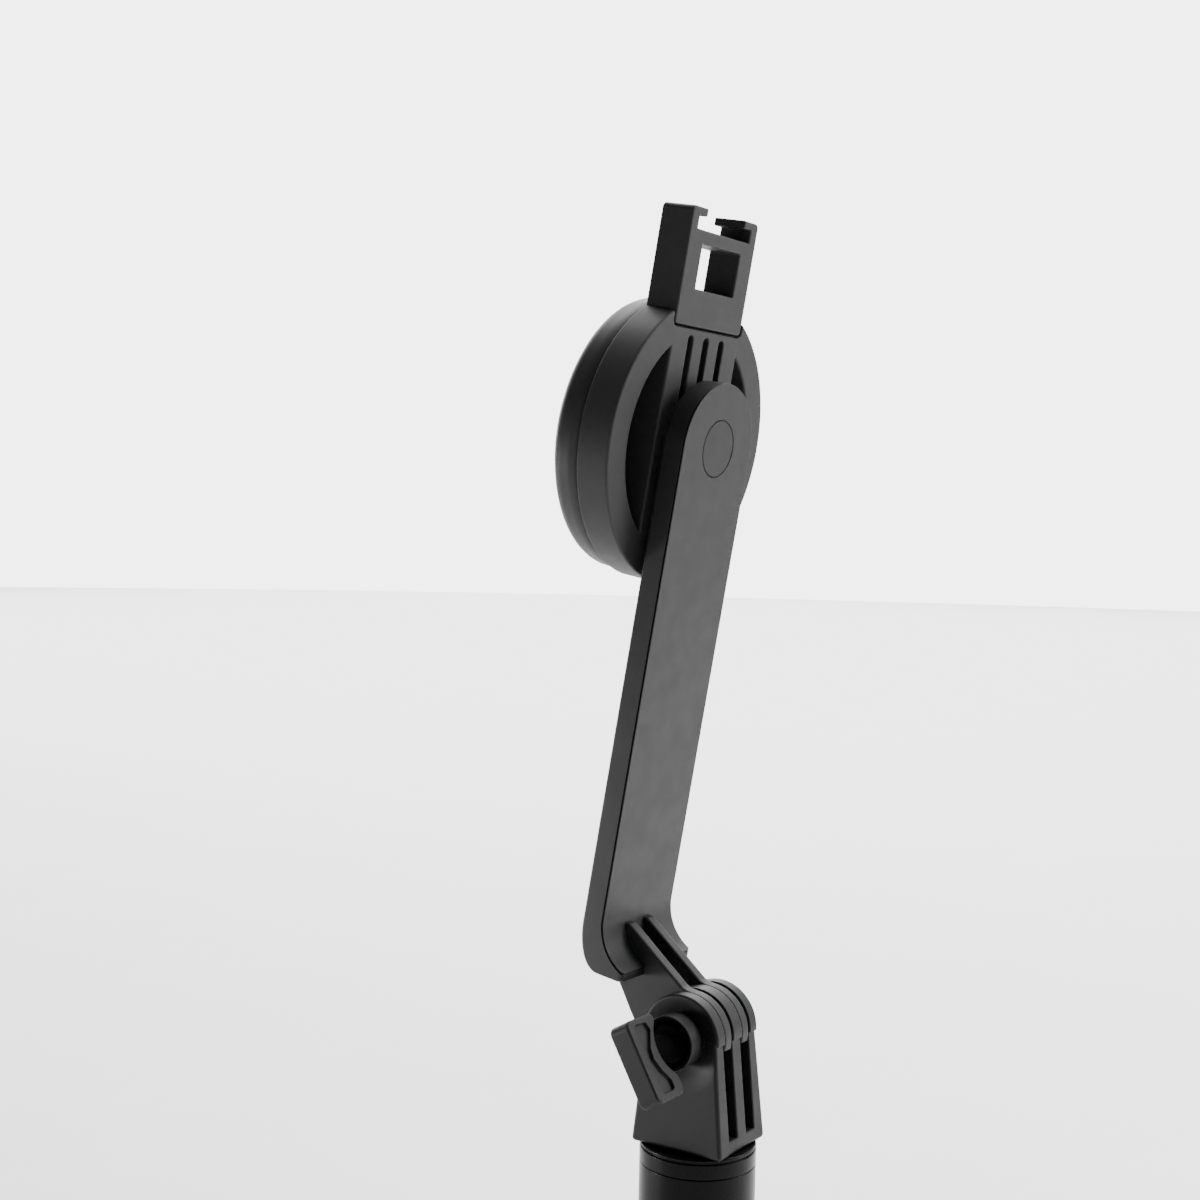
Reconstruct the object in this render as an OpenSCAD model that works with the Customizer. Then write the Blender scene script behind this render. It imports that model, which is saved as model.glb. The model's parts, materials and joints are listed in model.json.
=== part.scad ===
// Magnetic selfie stick: telescopic pole, folding arm and a ring-shaped magnetic phone head.
// The origin is the mouth of the tripod thread at the foot of the handle, on the pole's axis.
// +Z runs up the pole, +X runs along the folding hinge's axis to the thumb knob, and the phone's
// place is on the -Y side.

/* [Pole] */
// Outer diameter of the outermost tube
pole_d = 22.3; // [20:0.1:26]
// Height of the top of the outermost tube
pole_top = 183.85; // [150:0.05:220]
// Wall thickness of the outermost tube
pole_wall = 0.8; // [0.5:0.1:1]
// Wall thickness of each inner tube
section_wall = 0.55; // [0.4:0.05:0.6]
// Step in outer radius from one inner tube to the next
section_step = 1.4; // [1.3:0.05:1.45]
// Length of the bush at the top of each tube
bush_len = 8; // [5:0.5:12]
// Length of the friction plug at the foot of each inner tube
plug_len = 12; // [8:0.5:20]

/* [Handle] */
// Outer diameter of the grip sleeve
grip_d = 28; // [25:0.5:28]
// Height of the top of the grip sleeve
grip_top = 112; // [80:1:130]
// Number of grooves around the grip sleeve
groove_count = 9; // [5:1:12]
// Thickness of the flange of the end cap
end_cap_t = 4.4; // [3:0.1:6]
// Depth of the tripod thread
tripod_depth = 9; // [7:0.5:11]

/* [Hinge] */
// Height of the hinge axis above the origin
hinge_z = 209; // [205:0.1:214]
// Outer radius of the hinge prongs
prong_r = 8.2; // [7.5:0.1:8.2]
// Half width over the three prongs at the axis
prong_half = 7.6; // [7.5:0.05:7.75]
// Height of the hinge base below the axis
base_h = 21.25; // [20:0.05:23]
// Thickness of each of the arm's two fins
fin_t = 2.8; // [2.6:0.05:2.8]
// Distance from the middle to the centre of each fin
fin_x = 3.2; // [3.15:0.05:3.25]

/* [Thumb knob] */
// Length of the knob's paddle
paddle_len = 15.5; // [14:0.1:18]
// Thickness of the knob's paddle
paddle_t = 4.4; // [4:0.1:5.5]
// Angle of the paddle from upright
paddle_angle = 30; // [0:1:60]
// Distance from the middle to the paddle's outer edge
paddle_out = 24.5; // [24:0.1:27]
// Width of the paddle along the screw
paddle_w = 9; // [7.5:0.1:9.2]

/* [Arm] */
// Lean of the arm from the pole's axis
arm_lean = 9.8; // [0:0.1:14]
// Width of the arm
arm_w = 24.6; // [22:0.1:25]
// Thickness of the arm
arm_t = 4.8; // [4.6:0.1:5]
// Thickness of the arm's cover plate
cover_t = 0.8; // [0.6:0.1:1]
// Height of the ring's centre above the hinge axis, along the arm
ring_z = 108.9; // [104:0.1:112]
// Radius of the concave curve where the arm turns out to its foot
foot_r = 9.4; // [9:0.1:9.6]

/* [Magnetic head] */
// Outer radius of the ring housing
ring_r = 27; // [26:0.1:28]
// Inner radius of the ring housing
ring_inner = 21; // [20.5:0.1:21.5]
// Thickness of the ring housing
ring_t = 6.9; // [6.5:0.1:7.2]
// Width of the bar across the ring
bar_w = 24; // [23:0.1:24.6]
// Outer radius of the magnetic puck
puck_r = 26.2; // [25.8:0.1:26.4]
// Thickness of the magnetic puck
puck_t = 6.9; // [6.6:0.1:7.2]
// Number of magnets around the puck
magnet_count = 16; // [12:1:18]

/* [Accessory shoe] */
// Width of the shoe bracket
shoe_w = 24.2; // [24:0.1:24.4]
// Distance from the ring's centre to the bracket's top
shoe_top = 43; // [42.5:0.1:44]
// Width of the slot for an accessory's foot
shoe_slot_w = 19; // [18.8:0.1:19.4]
// Height of the slot for an accessory's foot
shoe_slot_h = 2.4; // [2.2:0.1:2.6]
// Gap between the shoe's two lips
lip_gap = 13.6; // [13:0.1:14]
// Thickness of the shoe's lips
lip_t = 1.5; // [1.3:0.1:1.7]

/* [Hidden] */
$fn = 96;

eps = 0.01;         // overlap that keeps a cut from leaving a skin
face_gap = 0.05;    // gap between flat faces that slide on each other
run_gap = 0.05;     // radial gap of a running fit
cut = 60;           // length of a tool that cuts right through

tripod_r = 3.175;     // 1/4 inch thread, at its outer radius
insert_r = 4.6;       // outer radius of the brass insert
pole_r = pole_d / 2;
pole_bore = pole_r - pole_wall;
tube_foot = 14;                       // height of the inner tubes' lower ends
section_top = pole_top - 0.4;
grip_r = grip_d / 2;
grip_ring_h = 3;
groove_depth = 0.8;
groove_w = 2.4;
groove_first = 16;                    // height of the lowest groove's foot
groove_margin = 8;                    // plain stretch above the grooves
end_spigot_top = 13;

base_z = hinge_z - base_h;            // underside of the hinge base
cap_top = base_z - face_gap;
cap_foot = pole_top + face_gap;
spigot_r = 3.4;                       // post under the hinge base
spigot_len = 16;
sleeve_len = 18;                      // neck of the top cap inside the smallest tube
pin_r = 1;
cap_lip = 0.6;                        // height of the rounded lip of the top cap
cap_groove_h = 0.4;
cap_groove_depth = 0.35;
pin_z = cap_foot - 7;

slot_half = fin_t / 2 + 0.15;         // half width of the slots between the prongs
slot_floor = 18.5;                    // depth of the slots in front, below the axis
web_top = 9.2;                        // depth of the slots at the back, below the axis
slot_rear = -3.5;                     // where the deep part of the slots begins
base_foot_x = 8.55;                   // half width of the hinge base at its underside
base_foot_y = 9.85;                   // half depth of the hinge base at its underside
base_neck_x = 7.75;                   // half width of its body at the hinge axis
base_neck_y = 7.7;
dish_r = 7.2;                         // round recess in each flank of the base
dish_x = 7.1;                         // floor of the recess
seat_r = 5.2;                         // raised seat for the washer in the recess
bolt_r = 2.5;                         // M5 clamping screw
nut_af = 8;
nut_t = 4;
nut_x = 6.2;
boss_x = 10.4;
boss_r = 6.2;
hub_x = prong_half + 0.7;             // inner face of the knob's hub
hub_r = 5.2;
hub_t = 3.7;
hub_wall = 0.65;                      // the hub is a cup: wall and floor
hub_floor = 0.9;
core_r = 3.6;                         // core around the screw's head, inside the cup
neck_r = 2.6;                         // neck between the hub and the paddle
bolt_head_x = hub_x + 3.3;
bolt_head_r = 3;
bolt_head_t = 2.6;
washer_r = 5;
washer_t = 0.6;
paddle_top = 6.5;                     // reach of the paddle above the axis
paddle_corner = 1.6;
waist_r = 5.9;                        // curve of the paddle's waisted inner edge
waist_depth = 2.8;
waist_z = -0.3;                       // height of the waist's middle, along the paddle

puck_face = -38.2;                    // the pad's face, across the arm from the hinge axis
ring_front = puck_face + puck_t;
ring_rear = ring_front + ring_t;
arm_front = ring_rear + 1.7;
arm_rear = arm_front + arm_t;
cover_front = arm_rear - cover_t;
foot_bottom = 7.6;                    // underside of the arm's foot, above the hinge axis
foot_tip = -11.7;
foot_z = 18.5;                        // height of the centre of the foot's concave curve
foot_y = arm_rear + foot_r;
head_r = arm_w / 2;
lug_r = prong_r - 0.3;
fin_pass_foot = 6;                    // slots in the cover that the fins pass through
fin_pass_top = 17.6;
rib_half = 9;                         // half width of the hollows between the arm's inner ribs
rib_pitch = 22;
rib_first = 27;
rib_skin = 1.5;

pivot_r = 3;
pivot_thread_r = 2;
pivot_head_r = 4.3;
pivot_head_t = 1.4;
spring_r = 4.6;
glide_r = 9;                          // slippery washer between the arm and the ring
pivot_floor = arm_front + 1.5;
pivot_head = pivot_floor + 0.3;
cap_r = 5.4;
cap_y = arm_rear - 1.5;
pivot_nut_y = ring_rear - 6.2;
pivot_nut_t = 3.2;
pivot_nut_af = 7;

seam = 0.45;                          // gap between the shoe bracket and the ring
notch_half = shoe_w / 2 + seam;
notch_foot = 21.1;                    // floor of the notch, above the ring's centre
shoe_foot = notch_foot + seam;
shoe_corner = 1.2;
tongue_foot = 15.5;
tongue_half = 7;
tongue_front = ring_front + 1.7;
tongue_t = 1.8;
bracket_screw_end = tongue_front + tongue_t + 0.7;
puck_screw_end = ring_front + 4.6;
window_w = 13.8;
window_h = 8.2;
window_foot = 28.4;
vent_pitch = 5.6;                     // spacing of the three long grooves in the ring's bar
vent_r = 0.95;
vent_foot = 6;
vent_top = 19;
vent_depth = 3;
screw_r = 1;                          // M2 screws
screw_head_r = 1.9;
screw_head_t = 1;
puck_screw_x = 8;
puck_screw_z = 14;
bracket_screw_x = 2.8;
bracket_screw_z = 18.2;
puck_floor = 1.3;                     // thickness of the puck shell's floor
puck_gap = 0.3;                       // how far the pad stands proud of the shell
puck_edge = 2.6;                      // rounding of the puck's rim
puck_bore = 24.4;                     // inner radius of the puck shell
shunt_t = 0.6;
magnet_out = 24;
magnet_in = 20.8;
magnet_t = 3.6;
magnet_gap = 0.5;
carrier_r = 20.4;
carrier_t = 4.6;
carrier_hollow = 9;

// Outer radius of inner tube n, where 1 is the widest
function section_r(n) = 9.5 - section_step * (n - 1);
// Bore of the tube that inner tube n slides in
function housing_bore(n) = n == 1 ? pole_bore : section_r(n - 1) - section_wall;

// A ring around Z
module tube(outer, inner, foot, top) {
    translate([0, 0, foot]) difference() {
        cylinder(r = outer, h = top - foot);
        translate([0, 0, -eps]) cylinder(r = inner, h = top - foot + 2 * eps);
    }
}

// A solid rod along X between two places
module rod_x(r, x0, x1) {
    translate([x0, 0, 0]) rotate([0, 90, 0]) cylinder(r = r, h = x1 - x0);
}

// A solid rod along Y between two places
module rod_y(r, y0, y1) {
    translate([0, y0, 0]) rotate([-90, 0, 0]) cylinder(r = r, h = y1 - y0);
}

// A hexagonal rod along Y between two places
module hex_y(af, y0, y1) {
    translate([0, y0, 0]) rotate([-90, 0, 0]) cylinder(d = af / cos(30), h = y1 - y0, $fn = 6);
}

// Extrudes an outline drawn in Y and Z along X
module along_x(w) {
    rotate([90, 0, 90]) linear_extrude(w, center = true) children();
}

// Extrudes an outline drawn in X and Z along Y
module along_y(y0, y1) {
    translate([0, y1, 0]) rotate([90, 0, 0]) linear_extrude(y1 - y0) children();
}

// Places a piece in the arm's frame: hinge axis at the origin, Z up the arm
module on_arm() {
    translate([0, 0, hinge_z]) rotate([-arm_lean, 0, 0]) children();
}

// Places a piece in the ring's frame: the arm's frame moved up to the ring's centre
module on_ring() {
    on_arm() translate([0, 0, ring_z]) children();
}

// Repeats a small piece at the four puck screws
module at_puck_screws() {
    for (x = [-puck_screw_x, puck_screw_x], z = [-puck_screw_z, puck_screw_z]) {
        translate([x, 0, z]) children();
    }
}

// Repeats a small piece at the two bracket screws
module at_bracket_screws() {
    for (x = [-bracket_screw_x, bracket_screw_x]) {
        translate([x, 0, bracket_screw_z]) children();
    }
}

// ---- Pole and handle ----

module outer_tube() {
    color("#16171a") tube(pole_r, pole_bore, end_cap_t, pole_top);
}

module grip_sleeve() {
    pitch = (grip_top - groove_first - groove_margin) / groove_count;
    color("#1c1d1f") difference() {
        tube(grip_r, pole_r, end_cap_t, grip_top);
        for (i = [0 : groove_count - 1]) {
            foot = groove_first + i * pitch;
            tube(grip_r + 1, grip_r - groove_depth, foot, foot + groove_w);
        }
    }
}

module grip_ring() {
    color("#3a3c40") tube(grip_r - 0.6, pole_r, grip_top, grip_top + grip_ring_h);
}

module end_cap() {
    color("#202124") difference() {
        union() {
            cylinder(r = grip_r, h = end_cap_t);
            cylinder(r = pole_bore - run_gap, h = end_spigot_top);
        }
        translate([0, 0, -eps]) cylinder(r = insert_r, h = tripod_depth + eps);
    }
}

module thread_insert() {
    color("#b08d4f") tube(insert_r, tripod_r, 0, tripod_depth);
}

// Guide bush at the top of the tube that inner tube n slides in
module slide_bush(n) {
    top = n == 1 ? pole_top : section_top;
    color("#2a2b2e") tube(housing_bore(n), section_r(n) + run_gap, top - bush_len, top);
}

// Inner tube n
module tube_section(n) {
    r = section_r(n);
    color("#8f9296") difference() {
        tube(r, r - section_wall, tube_foot, section_top);
        if (n == 4) {
            translate([0, 0, pin_z]) rod_y(pin_r, -cut, cut);
        }
    }
}

// Friction plug around the foot of inner tube n
module friction_plug(n) {
    bore = section_r(n);
    color("#2a2b2e") tube(housing_bore(n) - run_gap, bore, tube_foot, tube_foot + plug_len);
}

// ---- Top of the pole ----

module top_cap() {
    sleeve_r = section_r(4) - section_wall;
    groove_top = cap_top - cap_lip;
    color("#1a1b1e") difference() {
        union() {
            tube(pole_r, spigot_r, cap_foot, cap_top);
            tube(sleeve_r, spigot_r, cap_foot - sleeve_len, cap_foot + eps);
        }
        tube(pole_r + 1, pole_r - cap_groove_depth, groove_top - cap_groove_h, groove_top);
        translate([0, 0, pin_z]) rod_y(pin_r, -cut, cut);
    }
}

module spigot_pin() {
    color("#9a9da1") translate([0, 0, pin_z]) rod_y(pin_r, -section_r(4) + 0.1, section_r(4) - 0.1);
}

// Tapered body of the hinge base, seen from the side and from the front
module base_body() {
    intersection() {
        along_x(cut) polygon([
            [-base_foot_y, -base_h], [base_foot_y, -base_h], [base_neck_y, 0], [-base_neck_y, 0]
        ]);
        along_y(-cut, cut) polygon([
            [-base_foot_x, -base_h], [base_foot_x, -base_h], [base_neck_x, 0], [-base_neck_x, 0]
        ]);
    }
}

module hinge_base() {
    color("#232427") difference() {
        union() {
            translate([0, 0, hinge_z]) difference() {
                union() {
                    base_body();
                    rod_x(prong_r, -prong_half, prong_half);
                }
                rod_x(dish_r, dish_x, cut);
                rod_x(dish_r, -cut, -dish_x);
            }
            translate([0, 0, hinge_z]) {
                rod_x(seat_r, dish_x - eps, prong_half);
                rod_x(boss_r, -boss_x, -dish_x + eps);
            }
            translate([0, 0, base_z - spigot_len]) cylinder(r = spigot_r, h = spigot_len + 1);
        }
        translate([0, 0, hinge_z]) {
            for (side = [-1, 1]) {
                translate([side * fin_x, 0, 0]) {
                    translate([-slot_half, -cut / 2, -web_top]) cube([2 * slot_half, cut, cut]);
                    translate([-slot_half, slot_rear, -slot_floor]) cube([2 * slot_half, cut, cut]);
                }
            }
            rod_x(bolt_r + run_gap, -cut, cut);
            translate([-nut_x, 0, 0]) rotate([0, -90, 0]) {
                cylinder(d = (nut_af + 0.1) / cos(30), h = cut, $fn = 6);
            }
        }
        translate([0, 0, pin_z]) rod_y(pin_r, -cut, cut);
    }
}

module hex_nut() {
    color("#a5a8ac") translate([-nut_x, 0, hinge_z]) rotate([0, -90, 0]) difference() {
        cylinder(d = nut_af / cos(30), h = nut_t, $fn = 6);
        translate([0, 0, -1]) cylinder(r = bolt_r + run_gap, h = nut_t + 2);
    }
}

// ---- Thumb knob ----

// Outline of the paddle: straight outer edge, waisted inner edge. X runs along the screw.
module paddle_outline() {
    corner = paddle_corner;
    foot = paddle_len - paddle_top;
    inner_x = paddle_out - paddle_w;
    difference() {
        union() {
            translate([inner_x, -foot + corner]) square([paddle_w, paddle_len - 2 * corner]);
            translate([inner_x + corner, -foot]) square([paddle_w - 2 * corner, paddle_len]);
            for (x = [corner, paddle_w - corner], y = [corner, paddle_len - corner]) {
                translate([inner_x + x, -foot + y]) circle(r = corner);
            }
        }
        translate([inner_x - waist_r + waist_depth, waist_z]) circle(r = waist_r);
    }
}

module thumb_knob() {
    neck_end = paddle_out - paddle_w + waist_depth + 1;
    color("#1f2022") translate([0, 0, hinge_z]) difference() {
        union() {
            rotate([paddle_angle, 0, 0]) along_y(-paddle_t / 2, paddle_t / 2) paddle_outline();
            difference() {
                rod_x(hub_r, hub_x, hub_x + hub_t);
                rod_x(hub_r - hub_wall, hub_x + hub_floor, cut);
            }
            rod_x(core_r, hub_x, hub_x + hub_t);
            rod_x(neck_r, hub_x, neck_end);
        }
        rod_x(bolt_r, 0, bolt_head_x);
        rod_x(bolt_head_r, bolt_head_x - bolt_head_t, bolt_head_x);
    }
}

module thumb_bolt() {
    color("#a5a8ac") translate([0, 0, hinge_z]) {
        rod_x(bolt_r, -nut_x - nut_t, bolt_head_x);
        rod_x(bolt_head_r, bolt_head_x - bolt_head_t, bolt_head_x);
    }
}

module knob_washer() {
    color("#a5a8ac") translate([prong_half + face_gap, 0, hinge_z]) rotate([0, 90, 0]) {
        tube(washer_r, bolt_r + run_gap, 0, washer_t);
    }
}

// ---- Arm ----

// Side outline of the arm, with its rear face at a given place and its foot's curve to match
module arm_side(rear, curve_r) {
    difference() {
        polygon([
            [arm_front, ring_z + head_r + 1], [rear, ring_z + head_r + 1], [rear, foot_z],
            [foot_tip, foot_z], [foot_tip, foot_bottom],
            [arm_front + 3, foot_bottom], [arm_front, foot_bottom + 3]
        ]);
        translate([foot_y, foot_z]) circle(r = curve_r);
    }
}

// Front outline of the arm
module arm_face() {
    translate([0, ring_z]) circle(r = head_r);
    translate([-head_r, 0]) square([arm_w, ring_z]);
}

// Side outline of a fin, from the arm's foot down to its lug on the hinge axis
module fin_side() {
    circle(r = lug_r);
    polygon([
        [arm_rear, 17.2], [arm_rear - 2.2, 17.2], [-19, 9], [-19, foot_bottom],
        [-13.3, 0.15], [-9.7, -4.1], [-5, -6.1], [0, 0], [-1.2, 7.2]
    ]);
}

module arm_frame() {
    color("#26272a") on_arm() difference() {
        union() {
            intersection() {
                along_x(arm_w) arm_side(cover_front, foot_r + cover_t);
                along_y(-cut, cut) arm_face();
            }
            for (side = [-1, 1]) {
                translate([side * fin_x, 0, 0]) along_x(fin_t) fin_side();
            }
        }
        rod_x(bolt_r + run_gap, -cut, cut);
        translate([0, 0, ring_z]) {
            rod_y(pivot_r + run_gap, -cut, 0);
            rod_y(cap_r + run_gap, pivot_floor, 0);
        }
        for (i = [0 : 2]) {
            translate([-rib_half, arm_front + rib_skin, rib_first + rib_pitch * i]) {
                cube([2 * rib_half, cut, rib_pitch - 2]);
            }
        }
    }
}

module arm_cover() {
    color("#2c2d30") on_arm() difference() {
        intersection() {
            along_x(arm_w) difference() {
                arm_side(arm_rear, foot_r);
                arm_side(cover_front, foot_r + cover_t);
            }
            along_y(-cut, cut) arm_face();
        }
        translate([0, 0, ring_z]) rod_y(cap_r + run_gap, -cut, 0);
        for (side = [-1, 1]) {
            translate([side * fin_x, 0, 0]) along_x(fin_t + 2 * run_gap) {
                translate([-cut, fin_pass_foot]) square([cut, fin_pass_top - fin_pass_foot]);
            }
        }
    }
}

module pivot_cap() {
    color("#2c2d30") on_ring() rod_y(cap_r, cap_y, arm_rear);
}

// ---- Pivot between the arm and the ring ----

module pivot_screw() {
    color("#a5a8ac") on_ring() {
        rod_y(pivot_head_r, pivot_head, pivot_head + pivot_head_t);
        rod_y(pivot_r, ring_rear, pivot_head);
        rod_y(pivot_thread_r, pivot_nut_y, ring_rear);
    }
}

module wave_washer() {
    color("#b5b8bc") on_ring() translate([0, pivot_floor, 0]) rotate([-90, 0, 0]) {
        tube(spring_r, pivot_r, 0, pivot_head - pivot_floor);
    }
}

module friction_washer() {
    color("#d8d8d4") on_ring() translate([0, ring_rear, 0]) rotate([-90, 0, 0]) {
        tube(glide_r, pivot_r, 0, arm_front - ring_rear - face_gap);
    }
}

module pivot_nut() {
    color("#a5a8ac") on_ring() difference() {
        hex_y(pivot_nut_af, pivot_nut_y, pivot_nut_y + pivot_nut_t);
        rod_y(pivot_thread_r, -cut, 0);
    }
}

// ---- Magnetic head ----

// Outline of the ring housing: an open ring with an upright bar, notched for the shoe bracket
module ring_outline() {
    difference() {
        union() {
            difference() {
                circle(r = ring_r);
                circle(r = ring_inner);
            }
            intersection() {
                circle(r = ring_inner + 1);
                square([bar_w, cut], center = true);
            }
        }
        translate([-notch_half, notch_foot]) square([2 * notch_half, cut]);
    }
}

module ring_housing() {
    color("#222326") on_ring() difference() {
        along_y(ring_front, ring_rear) ring_outline();
        for (i = [-1 : 1]) {
            translate([i * vent_pitch, 0, 0]) along_y(ring_rear - vent_depth, ring_rear + 1) {
                translate([-vent_r, vent_foot]) square([2 * vent_r, vent_top - vent_foot]);
                translate([0, vent_top]) circle(r = vent_r);
            }
        }
        rod_y(pivot_thread_r, -cut, 0);
        hex_y(pivot_nut_af + 0.1, -cut, pivot_nut_y + pivot_nut_t);
        translate([-tongue_half - 0.05, tongue_front - 0.05, tongue_foot - 0.05]) {
            cube([2 * tongue_half + 0.1, tongue_t + 0.1, cut]);
        }
        at_bracket_screws() rod_y(screw_r, -cut, bracket_screw_end + 0.1);
        at_puck_screws() rod_y(screw_r, -cut, puck_screw_end + 0.2);
    }
}

module shoe_bracket() {
    corner = shoe_corner;
    half = shoe_w / 2;
    slot_foot = shoe_top - lip_t - shoe_slot_h;
    color("#222326") on_ring() difference() {
        union() {
            along_y(ring_front, ring_rear) {
                translate([-half, shoe_foot + corner]) square([shoe_w, shoe_top - shoe_foot - corner]);
                translate([-half + corner, shoe_foot]) square([shoe_w - 2 * corner, 2 * corner]);
                for (side = [-1, 1]) {
                    translate([side * (half - corner), shoe_foot + corner]) circle(r = corner);
                }
            }
            translate([-tongue_half, tongue_front, tongue_foot]) {
                cube([2 * tongue_half, tongue_t, shoe_foot - tongue_foot + 1]);
            }
        }
        translate([-shoe_slot_w / 2, -cut, slot_foot]) cube([shoe_slot_w, cut, shoe_slot_h]);
        translate([-lip_gap / 2, -cut, slot_foot]) cube([lip_gap, cut, cut]);
        translate([-window_w / 2, -cut, window_foot]) cube([window_w, cut, window_h]);
        at_bracket_screws() rod_y(screw_r, -cut, 0);
    }
}

module bracket_screws() {
    color("#a5a8ac") on_ring() at_bracket_screws() {
        rod_y(screw_r, ring_front + 0.2, bracket_screw_end);
    }
}

module puck_shell() {
    shell_t = puck_t - puck_gap;
    color("#2e2f33") on_ring() difference() {
        translate([0, ring_front, 0]) rotate([90, 0, 0]) rotate_extrude() {
            square([puck_r - puck_edge, shell_t]);
            translate([0, puck_edge]) square([puck_r, shell_t - 2 * puck_edge]);
            for (y = [puck_edge, shell_t - puck_edge]) {
                translate([puck_r - puck_edge, y]) circle(r = puck_edge);
            }
        }
        rod_y(puck_bore, -cut, ring_front - puck_floor);
        at_puck_screws() rod_y(screw_r, ring_front - 3, ring_front + 1);
    }
}

module puck_screws() {
    color("#a5a8ac") on_ring() at_puck_screws() {
        rod_y(screw_r, ring_front - puck_floor, puck_screw_end);
        rod_y(screw_head_r, ring_front - puck_floor - screw_head_t, ring_front - puck_floor);
    }
}

module shunt_ring() {
    color("#8d9094") on_ring() translate([0, ring_front - puck_floor, 0]) rotate([90, 0, 0]) {
        tube(magnet_out + 0.2, magnet_in - 0.2, 0, shunt_t);
    }
}

module magnet_carrier() {
    rear = ring_front - puck_floor;
    color("#d0d0cc") on_ring() difference() {
        rod_y(carrier_r, rear - carrier_t, rear);
        rod_y(carrier_hollow, rear - carrier_t + 0.6, rear + 1);
        at_puck_screws() rod_y(screw_head_r + 0.4, rear - 2 * screw_head_t, rear + 1);
    }
}

module magnet_array() {
    rear = ring_front - puck_floor - shunt_t - face_gap;
    color("#b9bcc0") on_ring() translate([0, rear, 0]) rotate([90, 0, 0]) difference() {
        tube(magnet_out, magnet_in, 0, magnet_t);
        for (i = [0 : magnet_count - 1]) {
            rotate([0, 0, 360 / magnet_count * (i + 0.5)]) {
                translate([carrier_r - 1, -magnet_gap / 2, -1]) cube([cut, magnet_gap, magnet_t + 2]);
            }
        }
    }
}

module contact_pad() {
    color("#17181a") on_ring() {
        rod_y(puck_bore - 0.1, puck_face, ring_front - puck_floor - carrier_t);
    }
}

outer_tube();
grip_sleeve();
grip_ring();
end_cap();
thread_insert();
slide_bush(1);  // slide_bush_1
tube_section(1);  // tube_section_1
friction_plug(1);  // friction_plug_1
slide_bush(2);  // slide_bush_2
tube_section(2);  // tube_section_2
friction_plug(2);  // friction_plug_2
slide_bush(3);  // slide_bush_3
tube_section(3);  // tube_section_3
friction_plug(3);  // friction_plug_3
slide_bush(4);  // slide_bush_4
tube_section(4);  // tube_section_4
friction_plug(4);  // friction_plug_4
top_cap();
spigot_pin();
hinge_base();
hex_nut();
thumb_knob();
thumb_bolt();
knob_washer();
arm_frame();
arm_cover();
pivot_cap();
pivot_screw();
wave_washer();
friction_washer();
pivot_nut();
ring_housing();
shoe_bracket();
bracket_screws();
puck_shell();
puck_screws();
shunt_ring();
magnet_carrier();
magnet_array();
contact_pad();
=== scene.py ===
import json
import math

import bmesh
import bpy
import numpy as np
from mathutils import Matrix, Vector


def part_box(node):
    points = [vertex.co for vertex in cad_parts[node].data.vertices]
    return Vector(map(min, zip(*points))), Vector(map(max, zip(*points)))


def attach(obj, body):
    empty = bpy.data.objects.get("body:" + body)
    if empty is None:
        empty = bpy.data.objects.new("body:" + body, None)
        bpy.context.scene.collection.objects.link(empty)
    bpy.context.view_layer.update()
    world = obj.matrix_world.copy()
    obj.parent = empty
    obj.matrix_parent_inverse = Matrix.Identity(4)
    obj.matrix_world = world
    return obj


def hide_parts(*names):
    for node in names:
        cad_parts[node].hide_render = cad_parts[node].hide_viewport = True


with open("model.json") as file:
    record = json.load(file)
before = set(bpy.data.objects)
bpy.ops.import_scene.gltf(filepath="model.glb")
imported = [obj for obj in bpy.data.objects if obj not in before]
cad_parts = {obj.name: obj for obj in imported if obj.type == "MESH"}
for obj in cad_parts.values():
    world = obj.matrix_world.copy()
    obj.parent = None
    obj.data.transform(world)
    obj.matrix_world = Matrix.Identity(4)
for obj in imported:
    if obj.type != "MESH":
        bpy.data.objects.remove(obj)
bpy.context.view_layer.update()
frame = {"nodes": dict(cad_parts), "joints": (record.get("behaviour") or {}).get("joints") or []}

MM = 0.001
FINE = 1.0     # coarser skins while trying things

# ---- The frame's own places, in millimetres ----

JOINT = {j["name"]: j for j in frame["joints"]}
HINGE = np.array(JOINT["arm_tilt"]["pos_m"]) / MM
RING_AT = np.array(JOINT["ring_turn"]["pos_m"]) / MM - HINGE
RING_AXIS = np.array(JOINT["ring_turn"]["axis"])
UP_ARM = np.array([0.0, -RING_AXIS[2], RING_AXIS[1]])
RING_Z = float(RING_AT @ UP_ARM)      # ring's centre above the hinge axis, along the arm
RING_REAR = float(RING_AT @ RING_AXIS)


def node_box(name):
    """Lowest and highest corner of a CAD node, in millimetres."""
    lo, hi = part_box(name)
    return np.array(lo) / MM, np.array(hi) / MM


def on_hinge(p):
    return p + HINGE


def on_arm(p):
    """From the arm's frame (X along the hinge, Y across the arm, Z up it) to the CAD frame."""
    p = np.asarray(p, float)
    leaned = np.stack([p[:, 0], p[:, 1] * RING_AXIS[1] - p[:, 2] * RING_AXIS[2],
                       p[:, 1] * RING_AXIS[2] + p[:, 2] * RING_AXIS[1]], 1)
    return leaned + HINGE


def on_ring(p):
    """From the ring's frame, which is the arm's moved up to the ring's centre, to the CAD frame."""
    return on_arm(np.asarray(p, float) + [0, 0, RING_Z])


def as_is(p):
    return np.asarray(p, float)


# ---- Distance functions that the moulded pieces are made of: negative inside, in millimetres ----

BEYOND = 60.0                         # past the end of any moulded piece


def far(*parts):
    return np.sqrt(sum(q * q for q in parts))


def both(a, b, r=0.4):
    """Where a and b overlap, with the outer edge rounded to r."""
    return np.minimum(np.maximum(a, b), -r) + far(np.maximum(a + r, 0), np.maximum(b + r, 0))


def either(a, b, r=0.4):
    """a and b together, with the inner corner filleted to r."""
    return np.maximum(np.minimum(a, b), r) - far(np.maximum(r - a, 0), np.maximum(r - b, 0))


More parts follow.
